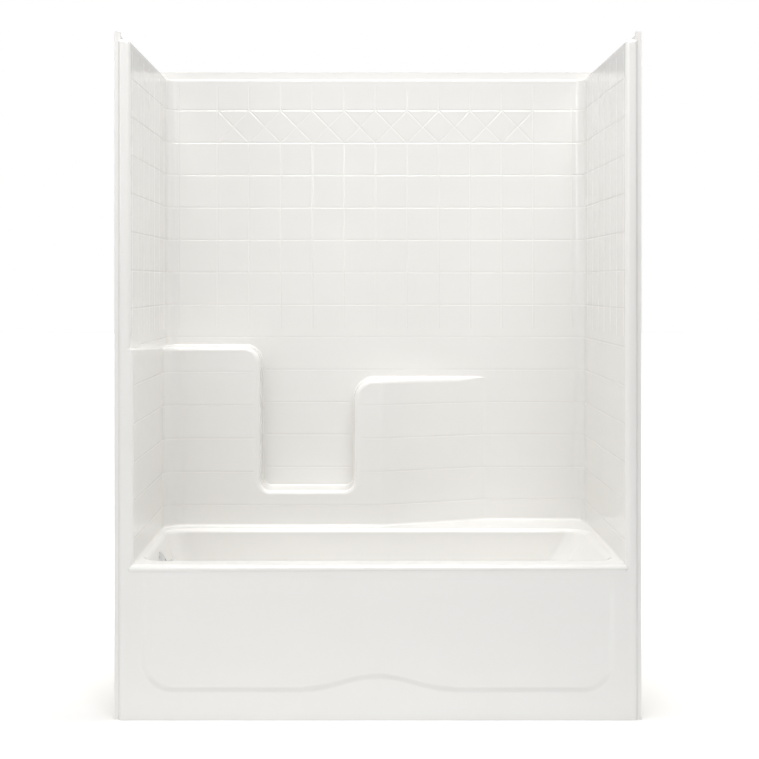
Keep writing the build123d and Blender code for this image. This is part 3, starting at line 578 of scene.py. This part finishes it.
# Basin rings from the deck's edge to the floor
B_LEFT, B_RIGHT, B_FRONT, B_BACK, B_R = -687.0, 690.0, -331.5, 191.5, 65.0
EDGE, FLOOR_R = 13.0, 36.0
END_SLOPE = 16.8
TAN_L, TAN_R, TAN_S = (math.tan(math.radians(v)) for v in (END_SLOPE, 35.0, 7.0))
DEPTH = DECK_Z - FLOOR_Z


def ring(drop, flare, n=14, sides=6):
    left, right = B_LEFT + drop * TAN_L - flare, B_RIGHT - drop * TAN_R + flare
    front, back = B_FRONT + drop * TAN_S - flare, B_BACK - drop * TAN_S + flare
    r = B_R + flare
    out = []
    corners = ((left + r, front + r, 180), (right - r, front + r, 270), (right - r, back - r, 0),
               (left + r, back - r, 90))
    for cx, cy, start in corners:
        for k in range(n + 1):
            a = math.radians(start + 90 * k / n)
            out.append((cx + r * math.cos(a), cy + r * math.sin(a), DECK_Z - drop))
    return out


drops = [(EDGE * versin(a), EDGE * coversin(a)) for a in quarter(8)]
drops += [(DEPTH - FLOOR_R * coversin(a), -FLOOR_R * versin(a)) for a in quarter(8)]
rings = np.array([ring(*d) for d in drops])
tub.grid(rings[:9], closed=True)
tub.grid(rings[9:], closed=True)
count = rings.shape[1]
for j in range(count - 1):
    tub.add([rings[8][j], rings[8][j + 1], rings[9][j + 1], rings[9][j]], [(0, 1, 2, 3)])

# Drain end wall with the overflow hole
PLATE_Z, HOLE_R, DRAIN_X, DRAIN_Y, DRAIN_R = 386.0, 29.5, -500.0, -70.0, 24.3
slope = math.radians(END_SLOPE)
wall_at = np.array([B_LEFT + (DECK_Z - PLATE_Z) * TAN_L, DRAIN_Y, PLATE_Z])
wall_up = np.array([-math.sin(slope), 0.0, math.cos(slope)])
wall_along = np.array([0.0, 1.0, 0.0])
corners = [rings[8][-1], rings[8][0], rings[9][0], rings[9][-1]]
loop = [((c - wall_at) @ wall_along, (c - wall_at) @ wall_up) for c in corners]
flat, tris = fill([loop, circle(HOLE_R)])
tub.add(wall_at + flat[:, :1] * wall_along + flat[:, 1:] * wall_up, tris)
floor_loop = [tuple(q[:2]) for q in rings[-1]]
flat, tris = fill([floor_loop, circle(DRAIN_R, DRAIN_X, DRAIN_Y)])
tub.add(np.column_stack([flat, np.full(len(flat), FLOOR_Z)]), tris)

# Deck from the nose round the basin and on under the ledges, to the ledger that carries it
DECK_X, DECK_BACK = 720.0, 381.5
front_x = [x for x in full_x if foot_edge[0, 0] - 1e-6 <= x <= foot_edge[-1, 0] + 1e-6]
deck_loop = [(x, BEAD_Y) for x in front_x]
deck_loop += [(DECK_X, BEAD_Y), (DECK_X, DECK_BACK), (-DECK_X, DECK_BACK), (-DECK_X, BEAD_Y)]
flat, tris = fill([deck_loop, [tuple(q[:2]) for q in rings[0]]])
tub.add(np.column_stack([flat, np.full(len(flat), DECK_Z)]), tris)


# ---------- meshes ----------
def new_object(name, points, faces, body, normals=None):
    mesh = bpy.data.meshes.new(name)
    mesh.from_pydata([tuple(v) for v in points], [], [tuple(int(i) for i in f) for f in faces])
    mesh.update()
    mesh.polygons.foreach_set("use_smooth", [True] * len(mesh.polygons))
    if normals is not None:
        mesh.normals_split_custom_set_from_vertices([tuple(v) for v in normals])
    obj = bpy.data.objects.new(name, mesh)
    bpy.context.scene.collection.objects.link(obj)
    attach(obj, body)
    return obj


def area_normals(points, faces):
    """Vertex normals weighted by the faces' areas."""
    out = np.zeros_like(points)
    for f in faces:
        f = list(f)
        a, b, c = points[f[0]], points[f[1]], points[f[2]]
        n = np.cross(b - a, c - a)
        if len(f) == 4:
            n = np.cross(points[f[2]] - a, points[f[3]] - b)
        out[f] += n
    size = np.linalg.norm(out, axis=1)
    return out / np.maximum(size, 1e-12)[:, None]


def weld(skin):
    """One set of points and faces from a skin's patches."""
    raw = np.concatenate(skin.points)
    keys, index = {}, []
    for v in raw:
        key = tuple(np.round(v / 0.02).astype(int))
        index.append(keys.setdefault(key, len(keys)))
    points = np.zeros((len(keys), 3))
    points[index] = raw
    faces, seen = [], set()
    for f in skin.faces:
        g = [index[i] for i in f]
        g = [v for i, v in enumerate(g) if v != g[i - 1]]
        if len(set(g)) < 3 or frozenset(g) in seen:
            continue
        seen.add(frozenset(g))
        faces.append(g)
    return points, faces


def orient(points, faces, facing):
    """The faces, turned island by island to look where facing says."""
    bm = bmesh.new()
    verts = [bm.verts.new(v) for v in points]
    for g in faces:
        bm.faces.new([verts[i] for i in g])
    bmesh.ops.recalc_face_normals(bm, faces=bm.faces)
    bm.verts.index_update()
    bm.faces.ensure_lookup_table()
    for f in bm.faces:
        f.tag = False
    out = []
    for f in bm.faces:
        if f.tag:
            continue
        stack, island = [f], []
        f.tag = True
        while stack:
            g = stack.pop()
            island.append(g)
            for e in g.edges:
                for h in e.link_faces:
                    if not h.tag:
                        h.tag = True
                        stack.append(h)
        vote = sum(facing(g.calc_center_median(), g.normal) * g.calc_area() for g in island)
        for g in island:
            ids = [v.index for v in g.verts]
            out.append(ids if vote >= 0 else ids[::-1])
    bm.free()
    return out


def shell(name, skin, thickness, facing):
    """A laminate: the skin's front and, behind it, its back, joined along the edges."""
    points, faces = weld(skin)
    faces = orient(points, faces, facing)
    normals = area_normals(points, faces)
    back = points - normals * thickness
    count = len(points)
    edges = {}
    for f in faces:
        for a, b in zip(f, f[1:] + f[:1]):
            edges.setdefault((min(a, b), max(a, b)), []).append((a, b))
    rim_faces = [(b, a, a + count, b + count) for uses in edges.values() if len(uses) == 1
                 for a, b in uses]
    # The rim has points of its own, so its edges stay sharp
    border = sorted({i for f in rim_faces for i in f if i < count})
    extra = {v: 2 * count + k for k, v in enumerate(border)}
    extra.update({v + count: 2 * count + len(border) + k for k, v in enumerate(border)})
    rim_faces = [tuple(extra[i] for i in f) for f in rim_faces]
    everything = np.concatenate([points, back, points[border], back[border]])
    all_faces = [tuple(f) for f in faces] + [tuple(i + count for i in f[::-1]) for f in faces]
    all_faces += rim_faces
    all_normals = np.concatenate([normals, -normals, np.zeros((2 * len(border), 3))])
    all_normals[2 * count:] = area_normals(everything, rim_faces)[2 * count:]
    obj = new_object(name, everything * MM, all_faces, "unit", all_normals)
    obj.data.materials.append(finishes["gelcoat"])
    obj.data.materials.append(back_finish)
    slots_used = [0] * len(faces) + [1] * (len(faces) + len(rim_faces))
    obj.data.polygons.foreach_set("material_index", slots_used)
    return obj


def to_room(centre, normal):
    """Which way a face of the walls looks: at the room, or up."""
    return normal @ (Vector((0, -1500, 2600)) - centre).normalized()


def to_bather(centre, normal):
    """Which way a face of the tub looks: forward, or up."""
    return normal @ (Vector((0, -700, 900)) - centre).normalized()


# ---------- materials ----------
def set_range(node, low, high, to_low, to_high):
    node.inputs["From Min"].default_value = low
    node.inputs["From Max"].default_value = high
    node.inputs["To Min"].default_value = to_low
    node.inputs["To Max"].default_value = to_high


class Nodes:
    """Small helper for building a material's node tree."""

    def __init__(self, name):
        self.material = bpy.data.materials.new(name)
        self.material.use_nodes = True
        self.tree = self.material.node_tree
        self.tree.nodes.clear()
        self.out = self.add("ShaderNodeOutputMaterial")
        self.shader = self.add("ShaderNodeBsdfPrincipled")
        self.tree.links.new(self.shader.outputs["BSDF"], self.out.inputs["Surface"])
        self.coords = self.add("ShaderNodeTexCoord").outputs["Object"]

    def add(self, kind, **values):
        node = self.tree.nodes.new(kind)
        for key, value in values.items():
            setattr(node, key, value)
        return node

    def link(self, source, target):
        self.tree.links.new(source, target)

    def set(self, name, value):
        self.shader.inputs[name].default_value = value

    def scaled(self, scale):
        node = self.add("ShaderNodeMapping")
        node.inputs["Scale"].default_value = scale
        self.link(self.coords, node.inputs["Vector"])
        return node.outputs["Vector"]

    def noise(self, scale, detail=4.0, rough=0.55, vector=None):
        node = self.add("ShaderNodeTexNoise")
        node.inputs["Scale"].default_value = scale
        node.inputs["Detail"].default_value = detail
        node.inputs["Roughness"].default_value = rough
        self.link(vector or self.coords, node.inputs["Vector"])
        return node.outputs["Fac"]

    def ramp(self, source, low, high, to_low, to_high):
        node = self.add("ShaderNodeMapRange")
        set_range(node, low, high, to_low, to_high)
        self.link(source, node.inputs["Value"])
        return node.outputs["Result"]

    def blend(self, factor, a, b):
        node = self.add("ShaderNodeMix", data_type="RGBA")
        self.link(factor, node.inputs["Factor"])
        for socket, value in ((node.inputs[6], a), (node.inputs[7], b)):
            if isinstance(value, tuple):
                socket.default_value = (*value, 1.0)
            else:
                self.link(value, socket)
        return node.outputs[2]

    def bump(self, height, strength, distance, under=None):
        node = self.add("ShaderNodeBump")
        node.inputs["Strength"].default_value = strength
        node.inputs["Distance"].default_value = distance
        self.link(height, node.inputs["Height"])
        if under is not None:
            self.link(under, node.inputs["Normal"])
        return node.outputs["Normal"]


def gelcoat():
    m = Nodes("gelcoat_white")
    broad = m.noise(1.3, 3.0)
    fine = m.noise(60.0, 3.0)
    tone = m.ramp(broad, 0.3, 0.7, 0.0, 1.0)
    white = m.blend(tone, (0.908, 0.896, 0.870), (0.920, 0.911, 0.889))
    m.link(white, m.shader.inputs["Base Color"])
    m.link(m.ramp(fine, 0.3, 0.7, 0.13, 0.16), m.shader.inputs["Roughness"])
    m.set("IOR", 1.57)
    wave = m.bump(m.noise(3.2, 2.0), 0.25, 0.0012)
    m.link(m.bump(m.noise(90.0, 2.0), 0.05, 0.00005, wave), m.shader.inputs["Normal"])
    return m.material


def laminate_back():
    m = Nodes("laminate_back")
    fibre = m.noise(1.0, 8.0, 0.7, m.scaled((220.0, 60.0, 60.0)))
    cross = m.noise(1.0, 8.0, 0.7, m.scaled((60.0, 60.0, 240.0)))
    patch = m.ramp(m.noise(5.0), 0.35, 0.65, 0.0, 1.0)
    base = m.blend(patch, (0.60, 0.57, 0.47), (0.70, 0.67, 0.58))
    resin = m.blend(m.ramp(fibre, 0.45, 0.75, 0.0, 0.6), base, (0.80, 0.78, 0.72))
    m.link(resin, m.shader.inputs["Base Color"])
    m.link(m.ramp(cross, 0.3, 0.7, 0.35, 0.65), m.shader.inputs["Roughness"])
    coarse = m.bump(fibre, 0.6, 0.0012)
    m.link(m.bump(cross, 0.6, 0.0012, coarse), m.shader.inputs["Normal"])
    return m.material


def timber():
    m = Nodes("sawn_softwood")
    warp = m.noise(2.0, 2.0)
    grain = m.add("ShaderNodeTexWave", wave_type="BANDS", bands_direction="Y")
    m.link(m.scaled((2.0, 26.0, 26.0)), grain.inputs["Vector"])
    grain.inputs["Scale"].default_value = 1.6
    grain.inputs["Distortion"].default_value = 5.0
    grain.inputs["Detail"].default_value = 3.0
    pores = m.noise(1.0, 6.0, 0.6, m.scaled((14.0, 420.0, 420.0)))
    rings = m.ramp(grain.outputs["Fac"], 0.1, 0.9, 0.0, 1.0)
    wood = m.blend(rings, (0.66, 0.49, 0.30), (0.52, 0.35, 0.19))
    wood = m.blend(m.ramp(pores, 0.5, 0.75, 0.0, 0.5), wood, (0.40, 0.26, 0.14))
    wood = m.blend(m.ramp(warp, 0.3, 0.8, 0.0, 0.35), wood, (0.74, 0.60, 0.42))
    m.link(wood, m.shader.inputs["Base Color"])
    m.link(m.ramp(pores, 0.3, 0.7, 0.55, 0.8), m.shader.inputs["Roughness"])
    m.link(m.bump(pores, 0.5, 0.0008), m.shader.inputs["Normal"])
    return m.material


def metal(name, light, dark, low, high, bump):
    m = Nodes(name)
    cloud = m.noise(24.0, 6.0, 0.6)
    speck = m.noise(320.0, 3.0)
    m.link(m.blend(m.ramp(cloud, 0.35, 0.7, 0.0, 1.0), light, dark), m.shader.inputs["Base Color"])
    m.link(m.ramp(cloud, 0.3, 0.7, low, high), m.shader.inputs["Roughness"])
    m.set("Metallic", 1.0)
    m.link(m.bump(speck, bump, 0.0003), m.shader.inputs["Normal"])
    return m.material


def rubber():
    m = Nodes("black_rubber")
    dust = m.noise(45.0, 6.0, 0.65)
    m.link(m.blend(m.ramp(dust, 0.45, 0.75, 0.0, 1.0), (0.022, 0.022, 0.023), (0.075, 0.073, 0.07)),
           m.shader.inputs["Base Color"])
    m.link(m.ramp(dust, 0.3, 0.7, 0.55, 0.8), m.shader.inputs["Roughness"])
    m.link(m.bump(m.noise(500.0), 0.3, 0.0003), m.shader.inputs["Normal"])
    return m.material


finishes = {
    "gelcoat": gelcoat(),
    "timber": timber(),
    "chrome": metal("polished_chrome", (0.80, 0.81, 0.82), (0.72, 0.73, 0.75), 0.06, 0.14, 0.03),
    "brass": metal("rough_brass", (0.72, 0.55, 0.27), (0.46, 0.32, 0.15), 0.25, 0.5, 0.35),
    "rubber": rubber(),
}
slots = {s["node"]: s["material_slot"] for s in frame["record"]["subparts"]}
for node, obj in frame["nodes"].items():
    obj.data.materials.clear()
    obj.data.materials.append(finishes[slots[node]])

back_finish = laminate_back()
wall_piece = shell("moulded_walls", walls, SKIN, to_room)
tub_piece = shell("moulded_tub", tub, SKIN, to_bather)
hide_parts("wall_surround")
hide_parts("tub_base")

# ---------- room: floor, light and camera ----------
scene = bpy.context.scene
scene.view_settings.view_transform = "Standard"
WORLD_BACK, WORLD_FRONT, FLOOR_GLOW = 0.67, 0.10, 0.06
LIGHTS = [
    ("left_softbox", (-2.1, -3.0, 2.1), (0.1, 0.3, 1.2), 1.1, 1.4, 15),
    ("right_softbox", (1.9, -3.6, 2.1), (0.0, 0.3, 1.6), 0.5, 1.1, 4),
    ("front_softbox", (0.0, -3.2, 4.4), (0.0, 0.2, 1.0), 3.0, 1.2, 81),
    ("top_softbox", (0.0, -1.9, 3.3), (0.0, 0.0, 0.6), 3.2, 2.0, 12),
    ("sky_softbox", (0.1, -0.15, 6.0), (0.05, -0.05, 0.4), 2.4, 1.2, 116),
]


def stage_floor():
    bm = bmesh.new()
    bmesh.ops.create_grid(bm, x_segments=24, y_segments=24, size=30.0)
    mesh = bpy.data.meshes.new("studio_floor")
    bm.to_mesh(mesh)
    bm.free()
    obj = bpy.data.objects.new("studio_floor", mesh)
    obj.location = (0.0, 0.0, -0.0005)
    scene.collection.objects.link(obj)
    m = Nodes("studio_floor_white")
    pale = m.blend(m.ramp(m.noise(0.6), 0.3, 0.7, 0.0, 1.0), (0.93, 0.93, 0.93), (0.95, 0.95, 0.95))
    m.link(pale, m.shader.inputs["Base Color"])
    m.set("Roughness", 0.7)
    m.set("Emission Color", (1.0, 1.0, 1.0, 1.0))
    across = m.add("ShaderNodeSeparateXYZ")
    m.link(m.coords, across.inputs["Vector"])
    glow = m.ramp(across.outputs["Y"], -1.0, 1.2, FLOOR_GLOW, 0.9)
    m.link(glow, m.shader.inputs["Emission Strength"])
    mesh.materials.append(m.material)


stage_floor()
world = bpy.data.worlds.new("studio")
scene.world = world
world.use_nodes = True
tree = world.node_tree
tree.nodes.clear()
world_out = tree.nodes.new("ShaderNodeOutputWorld")
seen = tree.nodes.new("ShaderNodeBackground")
seen.inputs["Color"].default_value = (1.0, 1.0, 1.0, 1.0)
around = tree.nodes.new("ShaderNodeBackground")
way = tree.nodes.new("ShaderNodeTexCoord")
split = tree.nodes.new("ShaderNodeSeparateXYZ")
tree.links.new(way.outputs["Generated"], split.inputs["Vector"])
front = tree.nodes.new("ShaderNodeMapRange")
set_range(front, 0.25, -0.35, WORLD_BACK, WORLD_FRONT)
tree.links.new(split.outputs["Y"], front.inputs["Value"])
tree.links.new(front.outputs["Result"], around.inputs["Strength"])
light_path = tree.nodes.new("ShaderNodeLightPath")
pick = tree.nodes.new("ShaderNodeMixShader")
tree.links.new(light_path.outputs["Is Camera Ray"], pick.inputs["Fac"])
tree.links.new(around.outputs["Background"], pick.inputs[1])
tree.links.new(seen.outputs["Background"], pick.inputs[2])
tree.links.new(pick.outputs["Shader"], world_out.inputs["Surface"])


def soft_light(name, at, aim, width, height, power):
    data = bpy.data.lights.new(name, "AREA")
    data.shape = "RECTANGLE"
    data.size, data.size_y, data.energy = width, height, power
    obj = bpy.data.objects.new(name, data)
    obj.location = at
    obj.rotation_euler = (Vector(aim) - Vector(at)).to_track_quat("-Z", "Y").to_euler()
    scene.collection.objects.link(obj)


for light in LIGHTS:
    soft_light(*light)

camera = bpy.data.objects.new("camera", bpy.data.cameras.new("camera"))
camera.location = (-0.043, -4.4565, 1.2615)
camera.rotation_euler = (math.pi / 2, 0.0, 0.0)
camera.data.sensor_width = 36.0
camera.data.lens = 1406.0 / 759.0 * 36.0
camera.data.shift_x = 16.5 / 759.0
camera.data.shift_y = -96.5 / 759.0
camera.data.dof.use_dof = False
camera.data.clip_end = 200.0
scene.collection.objects.link(camera)
scene.camera = camera
